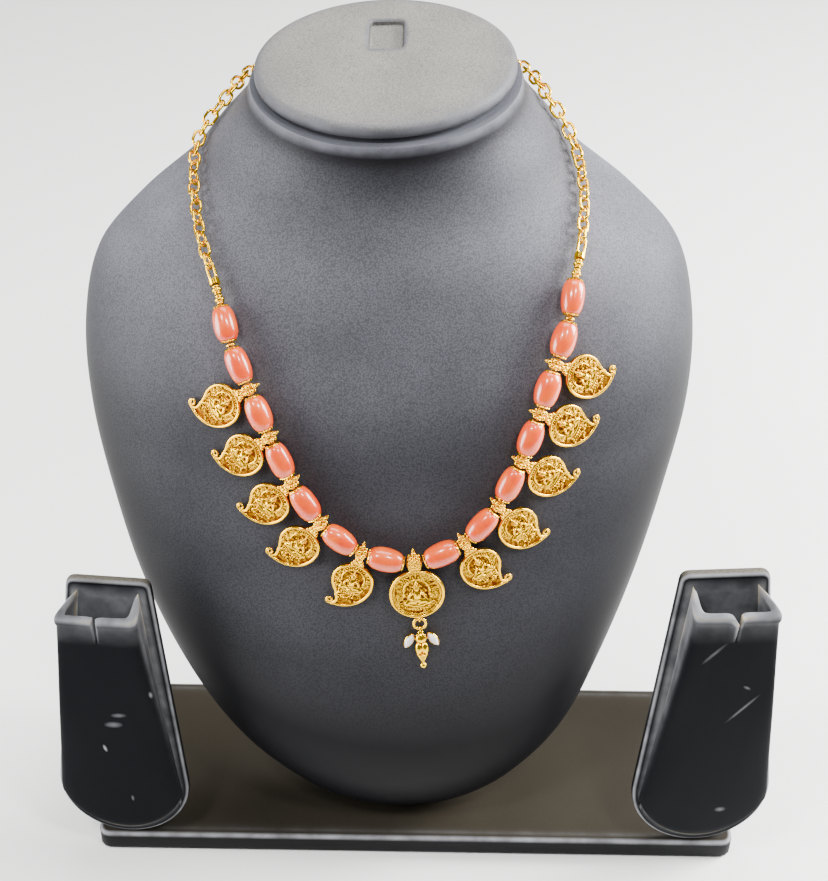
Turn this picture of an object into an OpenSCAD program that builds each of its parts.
// Temple jewellery necklace lying on a display neck bust.
// Origin in the middle of the base board's underside, X to the viewer's right, Y to the back, Z up.

/* [Base board] */
// Width of the base board
board_w = 234; // [200:1:320]
// Depth of the base board, front to back
board_d = 75; // [64:1:120]
// Thickness of the base board
board_t = 9; // [5:0.5:16]
// Corner radius of the base board
board_corner = 4; // [1:0.5:12]

/* [Neck bust] */
// Height of the bust from its foot to the top of the neck
bust_h = 250; // [220:1:290]
// Greatest width of the bust, across the shoulders
bust_w = 210; // [190:1:240]
// Depth of the bust, from the chest to the back of the neck
bust_d = 160; // [140:1:190]
// Diameter of the neck at its top
neck_d = 89; // [80:0.5:100]
// Sideways lean of the bust on its board, in degrees
bust_lean = 1.8; // [0:0.1:4]
// Distance of the bust's foot to the right of the middle of the board
bust_shift = -5.2; // [-10:0.1:10]
// Distance of the bust behind the middle of the board
bust_back = 2.5; // [-4:0.1:6]

/* [Neck cap] */
// Step between the neck's edge and the cap's edge
cap_step = 1.6; // [0.5:0.1:4]
// Thickness of the cap
cap_t = 4.6; // [3:0.1:8]
// Rounding of the cap's upper edge
cap_round = 2.2; // [0.5:0.1:3]
// Height of the shadow groove under the cap
cap_groove = 1.4; // [0.5:0.1:4]
// Sideways tilt of the cap on the neck, in degrees
cap_tilt = 0.6; // [0:0.1:1]
// Width of the sunk slot in the cap
slot_w = 12; // [6:0.5:20]
// Length of the sunk slot, front to back
slot_l = 20; // [8:0.5:24]
// Depth of the sunk slot
slot_deep = 2; // [0.5:0.1:3]
// Distance of the slot behind the cap's middle
slot_back = 17; // [0:0.5:22]

/* [Earring pads] */
// Height of the left pad's back board
pad_h = 114.5; // [90:0.5:130]
// Greatest width of the back board, near its round foot
pad_w = 47; // [36:0.5:56]
// Width of the back board at its top
pad_top_w = 29; // [22:0.5:34]
// Thickness of the back board
pad_t = 4; // [3:0.5:8]
// Radius of the back board's top corners
pad_corner = 3; // [1:0.5:6]
// Size of the right pad as a share of the left one
pad_right_share = 1.06; // [0.95:0.01:1.1]
// Backward lean of the pads, in degrees
pad_lean = 8; // [0:0.5:12]
// Outward turn of the pads, in degrees
pad_yaw = 4; // [0:0.5:10]
// Distance of a pad's middle from the middle of the board
pad_x = 104.5; // [98:0.5:112]
// Distance of the pads' common middle to the left of the board's middle
pads_shift = 1.5; // [0:0.1:4]
// Distance of a pad's foot behind the board's front edge
pad_inset = 1; // [0:0.5:6]
// Height of the flap's top edge on the back board
flap_top = 107.5; // [80:0.5:112]
// Rise of the flap's top edge from its front to its ears at the back board
ear_rise = 3; // [0:0.5:4]
// Height of the flap's round foot on the back board
flap_foot = 4; // [2:0.5:10]
// Margin of the back board left bare beside the flap
flap_margin = 2; // [1:0.1:5]
// Thickness of the flap's covered sheet
flap_t = 1.8; // [1:0.1:3]
// Width of the pocket between flap and back board, at the top edge
pocket_d = 10; // [7:0.5:14]
// Outward shift of the flap's front at its top edge
flap_skew = 2.5; // [0:0.5:4]
// Length of the slit in the flap's top edge
slit_l = 11; // [5:0.5:20]
// Width of the slit
slit_w = 1.2; // [0.6:0.1:3]

/* [Coral beads] */
// Length of a coral bead
coral_l = 11.3; // [9:0.1:12]
// Diameter of a coral bead
coral_d = 8.1; // [6:0.1:9.5]
// Diameter of a coral bead's flat end
coral_end_d = 3.8; // [3:0.1:5]
// Diameter of the gold caps on the bead ends
bead_cap_d = 5.2; // [4.4:0.1:5.8]
// Thickness of the gold caps
bead_cap_t = 0.35; // [0.25:0.05:0.6]

/* [String] */
// Diameter of the stringing thread
thread_d = 0.7; // [0.4:0.05:1]
// Diameter of the holes through beads and bails
bore_d = 1.8; // [1.5:0.05:2]
// Play between neighbours on the string
string_gap = 0.4; // [0.25:0.05:0.5]
// Play beside the medallion's bail bead, where the string bends most
medal_gap = 0.7; // [0.5:0.05:1]
// Diameter of the small gold spacer beads
spacer_d = 3.3; // [2.4:0.1:4]
// Length of a small gold spacer bead, with its collars
spacer_l = 3; // [2:0.1:4]
// Length of the thin spacer between the two top coral beads
thin_spacer_l = 0.9; // [0.6:0.1:2]

/* [Mango pendants] */
// Radius of a mango pendant's round body
mango_r = 7; // [5.5:0.1:7.6]
// Distance from the string to the middle of the body
mango_drop = 11.9; // [11:0.1:13]
// Thickness of the cast plate
plate_t = 0.9; // [0.6:0.05:1.4]
// Width of the raised rim
rim_w = 0.8; // [0.5:0.05:1.2]
// Height of the raised rim over the plate
rim_h = 0.6; // [0.3:0.05:1]
// Radius of the curl at the tail
curl_r = 1.1; // [0.8:0.05:1.5]
// Length of a bail bead along the string
bail_l = 3.7; // [3.4:0.1:5]
// Diameter of the bail's tube
bail_d = 3.4; // [2.8:0.1:4]
// Radius of the soldered granules
granule_r = 0.85; // [0.6:0.05:0.95]

/* [Medallion and drop] */
// Diameter of the medallion
medal_d = 18.4; // [14:0.1:20]
// Length of the medallion's bail bead along the string
medal_bail_l = 5.2; // [4.6:0.1:7]
// Diameter of the medallion's bail bead
medal_bail_d = 5.2; // [4:0.1:6]
// Outer diameter of the drop's ring
drop_ring_d = 5; // [4:0.1:6]
// Wire diameter of the drop's ring
drop_wire_d = 1; // [0.8:0.05:1.1]
// Height of the drop's cast body
drop_h = 14.4; // [11:0.1:16]
// Length of a white marquise stone
stone_l = 5.6; // [4:0.1:6]
// Width of a white marquise stone
stone_w = 2.5; // [2:0.1:3]

/* [Chain] */
// Outer length of a chain link
link_l = 6.4; // [5.6:0.1:8]
// Outer width of a chain link
link_w = 4.7; // [4:0.1:5.6]
// Wire diameter of the chain
link_wire = 1; // [0.8:0.05:1.1]
// Outer length of the narrow loop at each end of the beading
loop_l = 6.6; // [5.6:0.1:8]
// Outer width of the narrow loop
loop_w = 3.4; // [3:0.1:4]
// Outer diameter of the clasp's ring
clasp_d = 9; // [8:0.1:12]
// Wire diameter of the clasp's ring
clasp_wire = 1.5; // [1.2:0.05:1.8]

/* [Hidden] */
SIDES = ["left", "right"];
CORAL_COUNT = 7;
MANGO_COUNT = 5;

$fn = 40;
// Clearance of a piece that rests on another
seat_gap = 0.2;
// Clearance between loose parts of the chain
wire_gap = 0.15;
// Clearance under a gold cap
cap_fit = 0.1;

board_top = board_t + seat_gap;
neck_r = neck_d/2;

// Sections of the bust from the foot up. Columns: height share, half width, front depth and back
// depth as shares of the bust's half width and depth, offset across and set-back as shares of the
// same. Where the last column is 1, the first three are shares of the neck's radius instead.
bust_rows = [
    [0.000, 0.155, 0.030, 0.030,  0.005, -0.125, 0],
    [0.024, 0.285, 0.080, 0.044,  0.005, -0.106, 0],
    [0.064, 0.430, 0.150, 0.050,  0.003, -0.069, 0],
    [0.136, 0.600, 0.238, 0.056, -0.008, -0.012, 0],
    [0.232, 0.733, 0.312, 0.062, -0.027,  0.056, 0],
    [0.352, 0.855, 0.362, 0.069, -0.034,  0.138, 0],
    [0.472, 0.940, 0.388, 0.075, -0.029,  0.219, 0],
    [0.584, 0.997, 0.406, 0.081, -0.021,  0.294, 0],
    [0.688, 1.000, 0.419, 0.094, -0.019,  0.362, 0],
    [0.768, 0.944, 0.412, 0.131, -0.018,  0.425, 0],
    [0.832, 0.794, 0.388, 0.175, -0.017,  0.462, 0],
    [0.884, 1.476, 1.260, 0.787, -0.017,  0.481, 1],
    [0.928, 1.267, 1.124, 0.900, -0.015,  0.481, 1],
    [0.968, 1.070, 1.034, 0.966, -0.011,  0.475, 1],
    [1.000, 1.000, 1.000, 1.000, -0.008,  0.469, 1],
];

// The string's route over the bust, from the clasp behind the neck round the left side to the
// middle and back. Columns: height share of the bust, angle round the bust from its front in
// degrees, and 0 for the chain's height over the surface to 1 for the coral beads' height.
string_points = [
    [0.958, -180, 0], [0.958, -150, 0], [0.956, -122, 0], [0.950, -98, 0],
    [0.911, -86.7, 0], [0.890, -72, 0], [0.866, -56, 0], [0.840, -43.5, 0],
    [0.812, -35.4, 0.5], [0.783, -30.6, 1], [0.720, -23.8, 1], [0.667, -19.7, 1],
    [0.609, -15.7, 1], [0.557, -10.6, 1], [0.524, -3.7, 1], [0.511, 5.4, 1],
    [0.530, 13.5, 1], [0.571, 19.4, 1], [0.628, 23.7, 1], [0.685, 27.4, 1],
    [0.739, 31.7, 1], [0.798, 39.3, 1], [0.825, 45.5, 0.5], [0.849, 54, 0],
    [0.872, 66.5, 0], [0.893, 77.5, 0], [0.922, 87, 0], [0.950, 98, 0],
    [0.956, 122, 0], [0.958, 150, 0], [0.958, 180, 0],
];
string_middle = 15;

// Sag of each mango pendant from square to the string, and its lean against the bust, in degrees,
// counted outwards from the medallion.
mango_pose_left = [[8, 10.4], [9, 11.7], [18, 11.6], [14, 13.7], [5, 14]];
mango_pose_right = [[6, 11.3], [18, 12.5], [12, 13.1], [7, 14.6], [1, 14.5]];
medal_lean = 5.5;
drop_lift = 4;

function unit(v) = v/norm(v);
function arc(c, r, from, to, n) = [for (i = [0:n]) let (a = from + (to - from)*i/n) c + r*[cos(a), sin(a)]];

// Cubic curve through a table whose first column rises
function row_at(t, x, i = 0) = i >= len(t) - 2 || x < t[i + 1][0] ? i : row_at(t, x, i + 1);
function slope(t, i, c) =
    let (a = t[max(i - 1, 0)], b = t[min(i + 1, len(t) - 1)]) (b[c] - a[c])/(b[0] - a[0]);
function curve(t, x, c) =
    let (i = row_at(t, x), a = t[i], b = t[i + 1], h = b[0] - a[0], k = (x - a[0])/h)
    a[c]*(2*pow(k, 3) - 3*pow(k, 2) + 1) + b[c]*(3*pow(k, 2) - 2*pow(k, 3))
    + h*slope(t, i, c)*(pow(k, 3) - 2*pow(k, 2) + k) + h*slope(t, i + 1, c)*(pow(k, 3) - pow(k, 2));

bust_table = [for (r = bust_rows)
    let (w = r[6] == 1 ? neck_r : bust_w/2, d = r[6] == 1 ? neck_r : bust_d)
    [r[0]*bust_h, r[1]*w, r[2]*d, r[3]*d, r[4]*bust_w/2, r[5]*bust_d]];
neck_middle = [bust_table[14][4], bust_table[14][5]];

// A point of the bust at height z and angle a from its front, and the outward normal there
function bust_point(z, a) = let (depth = cos(a) > 0 ? 2 : 3) [
    curve(bust_table, z, 4) + curve(bust_table, z, 1)*sin(a),
    curve(bust_table, z, 5) - curve(bust_table, z, depth)*cos(a),
    z];
function bust_normal(z, a) =
    unit(cross(bust_point(z, a + 1) - bust_point(z, a - 1), bust_point(z + 1, a) - bust_point(z - 1, a)));

// The string as a fine table of length, place and normal
chain_rise = link_w/2 + 0.65;
bead_rise = coral_d/2 + 0.5;
route_steps = 8;
function route_point(i) = let (n = len(string_points) - 1)
    i < 0 ? string_points[n - 1] - [0, 360, 0]
    : i > n ? string_points[1] + [0, 360, 0] : string_points[i];
function blend(a, b, c, d, k) =
    b + (c - a)*k/2 + (2*a - 5*b + 4*c - d)*k*k/2 + (3*b - a - 3*c + d)*k*k*k/2;
function string_place(p) =
    let (z = p[0]*bust_h, rise = chain_rise + (bead_rise - chain_rise)*p[2], n = bust_normal(z, p[1]))
    concat(bust_point(z, p[1]) + rise*n, n);
function route_between(i, k) =
    string_place(blend(route_point(i - 1), route_point(i), route_point(i + 1), route_point(i + 2), k));
route = [for (i = [0:len(string_points) - 2], j = [0:route_steps - 1]) route_between(i, j/route_steps)];
route_n = len(route);
function place_of(i) = [for (c = [0:2]) route[i % route_n][c]];
lengths = [for (i = 0, s = 0; i <= route_n; s = s + norm(place_of(i + 1) - place_of(i)), i = i + 1) s];
middle_s = lengths[string_middle*route_steps];
string_total = lengths[route_n];
string_columns = [for (c = [0:5]) [for (i = [0:route_n]) [lengths[i], route[i % route_n][c]]]];
function wrap(s) = let (t = s + middle_s)
    t < 0 ? t + string_total : t > string_total ? t - string_total : t;
function string_at(s) = let (t = wrap(s)) [for (c = [0:2]) lookup(t, string_columns[c])];
function string_normal(s) = let (t = wrap(s)) [for (c = [3:5]) lookup(t, string_columns[c])];

// A frame on the string, over a piece of the given half length: X along it, Z out from the bust
function string_frame(s, half) =
    let (p = string_at(s - half), q = string_at(s + half), along = unit(q - p), n = string_normal(s),
         out = unit(n - (n*along)*along), side = cross(out, along), c = (p + q)/4 + string_at(s)/2)
    [for (i = [0:2]) [along[i], side[i], out[i], c[i]]];

// Places along the string, from the medallion outwards
cap_l = cap_fit + bead_cap_t;
bead_unit = coral_l + 2*cap_l;
pitch = bead_unit + bail_l + 2*string_gap;
coral_first = medal_bail_l/2 + medal_gap + bead_unit/2;
function coral_s(i) = i < CORAL_COUNT ? coral_first + (i - 1)*pitch
    : coral_s(CORAL_COUNT - 1) + bead_unit + thin_spacer_l + 2*string_gap;
function mango_s(i) = coral_s(i) + bead_unit/2 + string_gap + bail_l/2;
thin_spacer_s = coral_s(CORAL_COUNT - 1) + bead_unit/2 + string_gap + thin_spacer_l/2;
beads_end = coral_s(CORAL_COUNT) + bead_unit/2 + string_gap;
function spacer_s(i) = beads_end + spacer_l/2 + (i - 1)*(spacer_l + string_gap);
loop_bead_l = 1.8;
loop_bead_s = beads_end + 2*(spacer_l + string_gap) + loop_bead_l/2;
loop_wire = 0.9;
loop_s = loop_bead_s + loop_l/2;
link_reach = link_l - 2*link_wire - wire_gap;
chain_first = loop_s + loop_l/2 - loop_wire - wire_gap - link_wire + link_l/2;
function side_length(k) = k < 0 ? middle_s : string_total - middle_s;
chain_last_to_clasp = clasp_d/2 - clasp_wire - wire_gap - link_wire + link_l/2;
function chain_span(k) = side_length(k) - chain_last_to_clasp - chain_first;
// The number of steps is even, so that the first and the last link both stand square to the flat
// loop or ring that they hang in
function chain_steps(k) = 2*ceil(chain_span(k)/link_reach/2);

// Faces of a loft through rows of points, with its two ends
function loft_faces(rows, sides) = concat(
    [for (i = [0:rows - 1], j = [0:sides - 1])
        let (a = i*sides + j, b = i*sides + (j + 1) % sides)
        each [[a, a + sides, b], [b, a + sides, b + sides]]],
    [[for (j = [0:sides - 1]) j]],
    [[for (j = [sides - 1:-1:0]) rows*sides + j]]);

// A round wire bent into a ring
module wire_ring(ring_r, wire_r) {
    rotate_extrude(convexity = 2) translate([ring_r, 0]) circle(r = wire_r);
}

module on_bust() {
    foot_rise = bust_table[0][1]*sin(bust_lean);
    translate([bust_shift, bust_back, board_top + foot_rise]) rotate([0, -bust_lean, 0]) children();
}

module on_string(s, half) {
    on_bust() multmatrix(string_frame(s, half)) children();
}

// Revolve a profile of [along, radius] points about the string
module turned(profile) {
    rotate([0, 90, 0]) rotate_extrude() polygon([for (p = profile) [p[1], p[0]]]);
}

module base_board() {
    w = board_w/2 - board_corner;
    d = board_d/2 - board_corner;
    color("#2b2a2c") linear_extrude(board_t) polygon(concat(
        arc([w, d], board_corner, 0, 90, 6), arc([-w, d], board_corner, 90, 180, 6),
        arc([-w, -d], board_corner, 180, 270, 6), arc([w, -d], board_corner, 270, 360, 6)));
}

module neck_bust() {
    sections = 32;
    sides = 48;
    points = [for (i = [0:sections], j = [0:sides - 1]) bust_point(i*bust_h/sections, j*360/sides)];
    color("#3a3a3e") on_bust() polyhedron(points, loft_faces(sections, sides));
}

module neck_cap() {
    r = neck_r - cap_step;
    rim = arc([r - cap_round, cap_t - cap_round], cap_round, 90, 0, 6);
    low = arc([r - cap_round/2, cap_round/2], cap_round/2, 0, -90, 4);
    plug_r = r - 3;
    tilt_rise = plug_r*sin(cap_tilt);
    color("#45454a") on_bust()
        translate([neck_middle[0], neck_middle[1], bust_h + seat_gap + tilt_rise]) rotate([0, -cap_tilt, 0])
        difference() {
            union() {
                cylinder(r = plug_r, h = cap_groove);
                translate([0, 0, cap_groove]) rotate_extrude(convexity = 4)
                    polygon(concat([[0, 0], [0, cap_t]], rim, low));
            }
            translate([-slot_w/2, slot_back - slot_l/2, cap_groove + cap_t - slot_deep])
                cube([slot_w, slot_l, slot_deep + 1]);
        }
}

// The earring pads' tongue outline: a round foot, straight sides and a narrower top
pad_r = pad_w/2;
side_angle = atan2(pad_h - pad_r, pad_top_w/2) - acos(pad_r/norm([pad_top_w/2, pad_h - pad_r]));
function pad_half(z) = z < pad_r*(1 + sin(side_angle))
    ? sqrt(max(0, pow(pad_r, 2) - pow(pad_r - z, 2)))
    : let (x = pad_r*cos(side_angle), zs = pad_r*(1 + sin(side_angle)))
      x + (pad_top_w/2 - x)*(z - zs)/(pad_h - zs);

function pad_share(k) = k > 0 ? pad_right_share : 1;

module on_pad(k) {
    foot_rise = pad_share(k)*pad_t*sin(pad_lean);
    translate([k*pad_x - pads_shift, -board_d/2 + pad_inset, board_top + foot_rise])
        rotate([-pad_lean, 0, k*pad_yaw]) children();
}

module pad_back(k) {
    top = [pad_top_w/2 - pad_corner, pad_h - pad_corner];
    foot = arc([0, pad_r], pad_r, 180 - side_angle, 360 + side_angle, 28);
    head = concat(arc(top, pad_corner, 0, 90, 5), arc([-top[0], top[1]], pad_corner, 90, 180, 5));
    color("#252527") on_pad(k) rotate([90, 0, 0]) mirror([0, 0, 1])
        linear_extrude(pad_share(k)*pad_t) polygon(pad_share(k)*concat(foot, head));
}

// Section of the flap: a front face whose sides fold back to the board.
// Columns: share of the half width, share of the depth.
flap_fold = [
    [0.86, 0], [0.93, 0.4], [0.985, 0.76], [0.975, 0.92],
    [0.91, 0.985], [0.7, 1], [0.4, 1], [0.13, 1],
];
flap_section = concat(
    [for (p = flap_fold) [-p[0], p[1]]],
    [for (i = [len(flap_fold) - 1:-1:0]) flap_fold[i]]);

module pad_flap(k) {
    row = len(flap_section);
    up = 10;
    half_w = pad_r - flap_margin;
    function foot_z(u) = flap_foot + half_w - half_w*sqrt(1 - pow(0.985*u, 2));
    // u is the share of the half width, d the share of the depth, t the sheet's thickness
    function flap_point(u, d, v, t) =
        let (top = flap_top + ear_rise*(1 - d), z = foot_z(u) + v*(top - foot_z(u)),
             w = pad_half(max(z, pad_r)) - flap_margin,
             deep = flap_t + 0.6 + (pocket_d - 0.6)*pow(v, 0.8), fold = 1 + (1 - v)*(1 - d)*0.14)
        [k*(flap_skew*v*d - u*fold*(w - t)), -seat_gap - max(deep*d - t, 0), z];
    points = [for (t = [0, flap_t], j = [0:up], p = flap_section)
        pad_share(k)*flap_point(p[0], p[1], j/up, t)];
    n = row*(up + 1);
    cells = [for (j = [0:up - 1], i = [0:row - 2]) let (a = j*row + i)
        each [[a, a + row, a + 1], [a + 1, a + row, a + row + 1],
              [n + a, n + a + 1, n + a + row], [n + a + 1, n + a + row + 1, n + a + row]]];
    foot_edge = [for (i = [0:row - 2]) each [[i, i + 1, n + i], [i + 1, n + i + 1, n + i]]];
    top_edge = [for (i = [0:row - 2]) let (a = up*row + i)
        each [[a, n + a, a + 1], [a + 1, n + a, n + a + 1]]];
    left_edge = [for (j = [0:up - 1]) let (a = j*row)
        each [[a, n + a, a + row], [a + row, n + a, n + a + row]]];
    right_edge = [for (j = [0:up - 1]) let (a = j*row + row - 1)
        each [[a, a + row, n + a], [a + row, n + a + row, n + a]]];
    faces = concat(cells, foot_edge, top_edge, left_edge, right_edge);
    color("#1f1f22") on_pad(k) difference() {
        polyhedron(points, k < 0 ? faces : [for (f = faces) [f[0], f[2], f[1]]]);
        translate(pad_share(k)*[k*flap_skew - slit_w/2, -2*pocket_d, flap_top - slit_l])
            cube(pad_share(k)*[slit_w, 1.6*pocket_d, slit_l + 1]);
    }
}

// Coral bead: radius at a distance from the middle, and the distance at a radius. The barrel is
// squarer the higher its power is; 2 makes it an ellipse.
coral_power = 2.15;
function coral_radius(x) = let (e = coral_end_d/2)
    e + (coral_d/2 - e)*sqrt(1 - pow(min(1, abs(x)/(coral_l/2)), coral_power));
function coral_reach(r) = let (e = coral_end_d/2)
    coral_l/2*pow(1 - pow(max(0, r - e)/(coral_d/2 - e), 2), 1/coral_power);

module coral_bead(s) {
    steps = 14;
    wall = [for (i = [0:steps]) let (x = -coral_l/2*cos(180*i/steps)) [x, coral_radius(x)]];
    color("#ee5f33") on_string(s, coral_l/2)
        turned(concat([[-coral_l/2, bore_d/2]], wall, [[coral_l/2, bore_d/2]]));
}

module bead_cap() {
    radii = [coral_end_d/2, (coral_end_d + bead_cap_d)/4, bead_cap_d/2];
    under = [for (r = radii) [coral_reach(r) + cap_fit, r]];
    over = [for (i = [2:-1:0]) [under[i][0] + bead_cap_t, radii[i]]];
    turned(concat([[coral_l/2 + cap_fit, bore_d/2]], under, over, [[coral_l/2 + cap_l, bore_d/2]]));
}

module bead_caps() {
    color("#e8b33a") for (k = [-1, 1], i = [1:CORAL_COUNT], end = [0, 180])
        on_string(k*coral_s(i), coral_l/2) rotate([0, 0, end]) bead_cap();
}

// Profile of a spacer bead from its end to its middle. Columns: share of the half length, radius.
collar_r = 1.2;
spacer_profile = [[1, bore_d/2], [1, collar_r], [0.5, collar_r], [0.5, 0.4*spacer_d], [0.2, spacer_d/2]];

module spacer_bead() {
    far = [for (p = spacer_profile) [p[0]*spacer_l/2, p[1]]];
    near = [for (i = [len(far) - 1:-1:0]) [-far[i][0], far[i][1]]];
    turned(concat(far, near));
}

module spacer_beads() {
    color("#f0c04a") for (k = [-1, 1]) {
        for (i = [1, 2]) on_string(k*spacer_s(i), spacer_l/2) spacer_bead();
        on_string(k*thin_spacer_s, thin_spacer_l/2) rotate([0, 90, 0]) difference() {
            cylinder(d = spacer_d, h = thin_spacer_l, center = true);
            cylinder(d = bore_d, h = thin_spacer_l + 1, center = true);
        }
    }
}

// A stadium-shaped wire link lying in the XY plane, long side along X
module wire_link(l, w, wire) {
    r = (w - wire)/2;
    run = l/2 - w/2;
    for (end = [0, 180]) rotate([0, 0, end]) {
        translate([run, 0, 0]) rotate([0, 0, -90]) rotate_extrude(angle = 180, convexity = 2)
            translate([r, 0]) circle(d = wire);
        translate([-run, r, 0]) rotate([0, 90, 0]) cylinder(d = wire, h = 2*run);
    }
}

// The bead that closes each end of the beading, soldered to a narrow wire loop
module end_loops() {
    sunk = loop_bead_l/2 - 0.2;
    color("#f0c04a") for (k = [-1, 1]) on_string(k*loop_bead_s, loop_bead_l) rotate([0, 0, 90 - 90*k]) {
        difference() {
            rotate([0, 90, 0]) cylinder(d = spacer_d + 0.3, h = loop_bead_l, center = true);
            translate([-loop_bead_l, 0, 0]) rotate([0, 90, 0]) cylinder(d = bore_d, h = loop_bead_l + 0.3);
        }
        translate([sunk + loop_l/2, 0, 0]) wire_link(loop_l, loop_w, loop_wire);
    }
}

module chain(k) {
    steps = chain_steps(k);
    step = chain_span(k)/steps;
    color("#e9b43c") for (i = [0:steps]) on_string(k*(chain_first + i*step), link_l/2)
        rotate([90*(i + 1) + 12*sin(40*i), 0, 0]) wire_link(link_l, link_w, link_wire);
}

// A spring ring with the sleeve of its catch
module clasp() {
    r = (clasp_d - clasp_wire)/2;
    sleeve_d = 1.35*clasp_wire;
    sleeve_l = clasp_d/3;
    color("#d9a435") on_string(string_total - middle_s, link_l) {
        wire_ring(r, clasp_wire/2);
        translate([0, r, 0]) rotate([0, 90, 0]) cylinder(d = sleeve_d, h = sleeve_l, center = true);
    }
}

module thread() {
    end = loop_bead_s - 0.3;
    rings = 84;
    sides = 8;
    frames = [for (i = [0:rings]) string_frame(-end + 2*end*i/rings, 0.5)];
    points = [for (f = frames, j = [0:sides - 1]) let (y = thread_d/2*cos(45*j), z = thread_d/2*sin(45*j))
        [for (c = [0:2]) f[c][3] + f[c][1]*y + f[c][2]*z]];
    color("#6b5a32") on_bust() polyhedron(points, loft_faces(rings, sides));
}

// The seated figure in raised work, for a field of radius 1 with its head towards +Y.
// Limbs, of which those off the middle have a mirrored twin. Columns: start, end, radius.
figure_limbs = [
    [[-0.36, -0.46], [0.36, -0.46], 0.13],
    [[0, -0.4], [0, 0.04], 0.16],
    [[-0.17, 0.03], [0.17, 0.03], 0.1],
];
figure_arm = [
    [[0.16, 0.02], [0.3, -0.2], 0.065],
    [[0.3, -0.2], [0.2, -0.36], 0.06],
];
// Scrolls beside the figure. Columns: middle, ring radius, wire radius.
figure_scrolls = [
    [[0.62, -0.02], 0.14, 0.05],
    [[0.56, 0.38], 0.11, 0.05],
];
// Middle and radius of a knee and of the head
figure_knee = [[0.4, -0.45], 0.15];
figure_head = [[0, 0.24], 0.14];

module rod(a, b, r) {
    v = b - a;
    translate([a[0], a[1], 0]) rotate([0, 90, atan2(v[1], v[0])]) cylinder(r = r, h = norm(v));
}

module crown() {
    brow = 0.32;
    height = 0.26;
    translate([0, brow, 0]) rotate([-90, 0, 0]) cylinder(r1 = 0.13, r2 = 0.04, h = height);
}

module arch() {
    spring = 0.16;
    arch_r = 0.42;
    arch_wire = 0.045;
    translate([0, spring, 0]) rotate_extrude(angle = 180) translate([arch_r, 0]) circle(r = arch_wire);
}

module lotus_row() {
    petal_step = 0.17;
    petal_r = 0.09;
    row_y = -0.66;
    bow = 0.02;
    for (i = [-2:2]) translate([petal_step*i, row_y + bow*i*i, 0]) sphere(r = petal_r);
}

module figure(scale_r) {
    scale(scale_r) {
        for (limb = figure_limbs) rod(limb[0], limb[1], limb[2]);
        for (k = [0, 1]) mirror([k, 0, 0]) {
            for (limb = figure_arm) rod(limb[0], limb[1], limb[2]);
            translate(figure_knee[0]) sphere(r = figure_knee[1]);
            for (scroll = figure_scrolls) translate(scroll[0]) wire_ring(scroll[1], scroll[2]);
        }
        translate(figure_head[0]) sphere(r = figure_head[1]);
        crown();
        arch();
        lotus_row();
    }
}

// Length of the bevel at a bail's ends, which lets its neighbours lean, and the radius it runs to
bail_bevel = 0.5;
bail_end_r = bore_d/2 + 0.3;

// Tube with a ring of granules, for a bail that the thread passes
module bail(l, d, grain, turn) {
    half = [[0, bail_end_r], [bail_bevel, d/2]];
    difference() {
        union() {
            turned(concat([[-l/2, 0]], [for (p = half) [p[0] - l/2, p[1]]],
                [for (i = [1, 0]) [l/2 - half[i][0], half[i][1]]], [[l/2, 0]]));
            rotate([0, 0, turn]) for (x = [-1, 1], a = [45:90:315])
                rotate([a, 0, 0]) translate([x*l*0.22, 0, d/2]) sphere(r = grain);
        }
        rotate([0, 90, 0]) cylinder(d = bore_d, h = 3*l, center = true);
    }
}

module finial(base) {
    stem_r = 0.55;
    stem_l = 1.2;
    knob_r = 0.9;
    tip_r = 0.2;
    tip_l = 1.6;
    sunk = 0.2;
    translate([0, base, 0]) rotate([-90, 0, 0]) cylinder(r = stem_r, h = stem_l);
    translate([0, base + stem_l, 0]) sphere(r = knob_r);
    translate([0, base + stem_l + sunk, 0]) rotate([-90, 0, 0])
        cylinder(r1 = knob_r - 0.05, r2 = tip_r, h = tip_l);
}

// Outline of a mango plate about its body's middle, as shares of the body's radius, tail to -X
module mango_outline() {
    polygon(mango_r*concat(
        arc([0, 0], 1, 213, 2, 24),
        arc([-0.504, -0.098], 1.514, -2, -98, 12),
        arc([-2.630, -1.708], 2.136, 10, 33, 6)));
}

// Middle of the tail's curl in the same shares, and the diameter of its wire
tail_curl = [-0.79, -1.44];
curl_wire = 0.9;

module mango_pendant(k, i) {
    pose = (k < 0 ? mango_pose_left : mango_pose_right)[i - 1];
    bead_r = bail_d/2 - 0.2;
    hook = mango_drop - mango_r + rim_w;
    color("#e3a92f") on_string(k*mango_s(i), bail_l/2) rotate([pose[1], 0, 0]) {
        bail(bail_l, bail_d, granule_r, -k*pose[0]);
        rotate([0, 0, -k*pose[0]]) {
            finial(bead_r);
            translate([0, -hook, -plate_t/2]) linear_extrude(plate_t*1.6)
                polygon([[-1.9, 0], [1.9, 0], [0.9, hook - bead_r + 0.4], [-0.9, hook - bead_r + 0.4]]);
            for (x = [-1, 1]) translate([x, -hook + 1.4, 0.9]) sphere(r = granule_r);
            translate([0, -mango_drop, 0]) mirror([k < 0 ? 0 : 1, 0, 0]) {
                translate([0, 0, -plate_t/2]) linear_extrude(plate_t) mango_outline();
                translate([0, 0, plate_t/2 - 0.1]) linear_extrude(rim_h + 0.1) difference() {
                    mango_outline();
                    offset(delta = -rim_w) mango_outline();
                }
                translate(mango_r*tail_curl) wire_ring(curl_r, curl_wire/2);
                translate([0, 0, plate_t/2]) figure(mango_r*0.86);
            }
        }
    }
}

medal_r = medal_d/2;
medal_drop = medal_bail_d/2 + medal_r + 0.2;
lug_r = 0.98;
lug_wire = 0.3;
ring_r = (drop_ring_d - drop_wire_d)/2;
medal_lug_y = -medal_drop - medal_r - lug_r + 0.1;
ring_y = medal_lug_y - ring_r;
drop_lug_y = ring_y - ring_r;

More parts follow.
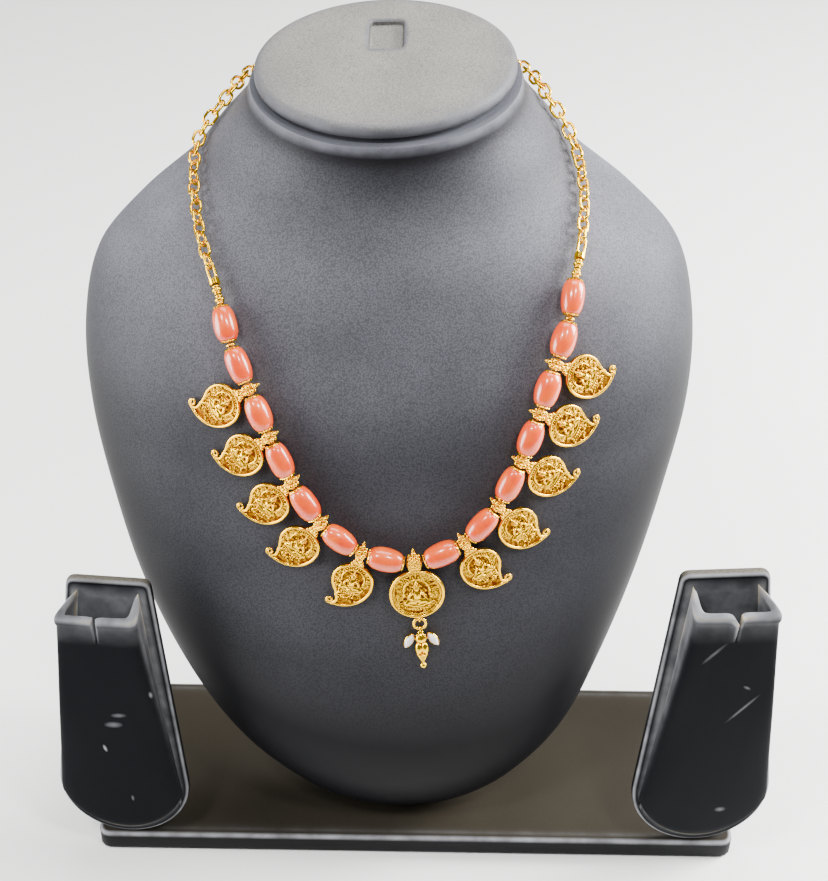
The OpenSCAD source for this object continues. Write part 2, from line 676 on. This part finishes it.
module on_medallion() {
    on_string(0, medal_bail_l/2) rotate([medal_lean, 0, 0]) children();
}

module on_drop() {
    on_medallion() translate([0, drop_lug_y, 0]) rotate([-drop_lift, 0, 0])
        translate([0, -drop_lug_y, 0]) children();
}

module lug(y) {
    translate([0, y, 0]) rotate([0, 90, 0]) wire_ring(lug_r, lug_wire);
}

module medallion() {
    neck = medal_drop - medal_r;
    color("#e3a92f") on_medallion() {
        bail(medal_bail_l, medal_bail_d - 0.8, granule_r*0.9, 0);
        finial(medal_bail_d/2 - 0.8);
        translate([-1.4, -neck - 1, -plate_t/2]) cube([2.8, neck, plate_t]);
        translate([0, -medal_drop, -plate_t/2]) {
            cylinder(r = medal_r, h = plate_t);
            translate([0, 0, plate_t + rim_h - 0.35]) wire_ring(medal_r - rim_w/2 - 0.1, rim_w/2);
            translate([0, 0, plate_t]) figure(medal_r*0.9);
        }
        lug(medal_lug_y);
    }
}

module drop_ring() {
    color("#efc04c") on_medallion() translate([0, ring_y, 0]) wire_ring(ring_r, drop_wire_d/2);
}

drop_top = drop_lug_y - lug_r + 0.15;
stone_place = [4.05, drop_top - 3.7];
stone_turn = 56;

// Radii of the drop's parts
crown_r = 1.9;
petal_r = 1.3;
cup_r = 2.1;
stem_r = 0.55;
ball_r = 1.1;
// Places of its parts below its top, and the length of a part, as shares of its height
crown_at = 0.24;
petals_at = 0.38;
cup_at = 0.6;
stem_at = 0.78;
part_share = 0.2;
// Thickness of the trays that hold the stones
tray_t = 0.5;

// A tapered part of the drop, hanging down from a share of its height
module drop_part(at, top_r, end_r) {
    translate([0, -at*drop_h, 0]) rotate([90, 0, 0])
        cylinder(r1 = top_r, r2 = end_r, h = part_share*drop_h);
}

module drop() {
    color("#e8b33a") on_drop() {
        lug(drop_lug_y);
        translate([0, drop_top, 0]) {
            drop_part(0, crown_r/2, crown_r);
            translate([0, -crown_at*drop_h, 0]) sphere(r = crown_r);
            for (k = [-1, 1]) translate([0.8*k*petal_r, 0, 0]) {
                drop_part(petals_at, petal_r, petal_r);
                for (end = [petals_at, petals_at + part_share]) translate([0, -end*drop_h, 0])
                    sphere(r = petal_r);
            }
            drop_part(cup_at, cup_r, cup_r/2);
            drop_part(stem_at, stem_r, stem_r);
            translate([0, ball_r - drop_h, 0]) sphere(r = ball_r);
        }
        for (k = [0, 1]) mirror([k, 0, 0]) translate([0, stone_place[1], -stone_seat - tray_t]) {
            translate([0, -tray_t, 0]) cube([stone_place[0], 2*tray_t, tray_t]);
            translate([stone_place[0], 0, 0]) rotate([0, 0, -stone_turn])
                linear_extrude(tray_t) marquise_outline();
        }
    }
}

// Marquise stone with table, crown, girdle and pavilion, pointed ends along X
stone_crown = 0.55;
stone_girdle = 0.2;
stone_pavilion = 0.7;
stone_seat = stone_girdle/2 + stone_pavilion + 0.15;

module marquise_outline() {
    bow = (pow(stone_l/2, 2) + pow(stone_w/2, 2))/stone_w;
    reach = asin(stone_l/2/bow);
    polygon(concat(arc([0, stone_w/2 - bow], bow, 90 - reach, 90 + reach, 6),
                   arc([0, bow - stone_w/2], bow, 270 - reach, 270 + reach, 6)));
}

module marquise() {
    translate([0, 0, stone_girdle/2]) linear_extrude(stone_crown, scale = 0.6) marquise_outline();
    translate([0, 0, -stone_girdle/2]) linear_extrude(stone_girdle) marquise_outline();
    mirror([0, 0, 1]) translate([0, 0, stone_girdle/2])
        linear_extrude(stone_pavilion, scale = 0.25) marquise_outline();
}

module drop_stones() {
    color("#f4f2ee") on_drop() for (k = [-1, 1]) translate([k*stone_place[0], stone_place[1], 0])
        mirror([k < 0 ? 1 : 0, 0, 0]) rotate([0, 0, -stone_turn]) marquise();
}

base_board();
neck_bust();
neck_cap();
medallion();
drop_ring();
drop();
drop_stones();
bead_caps();
spacer_beads();
end_loops();
clasp();
thread();
for (k = [-1, 1]) let (side = SIDES[(k + 1)/2]) {
    pad_back(k);
    pad_flap(k);
    chain(k);
    for (i = [1:CORAL_COUNT])
        coral_bead(k*coral_s(i));
    for (i = [1:MANGO_COUNT])
        mango_pendant(k, i);
}
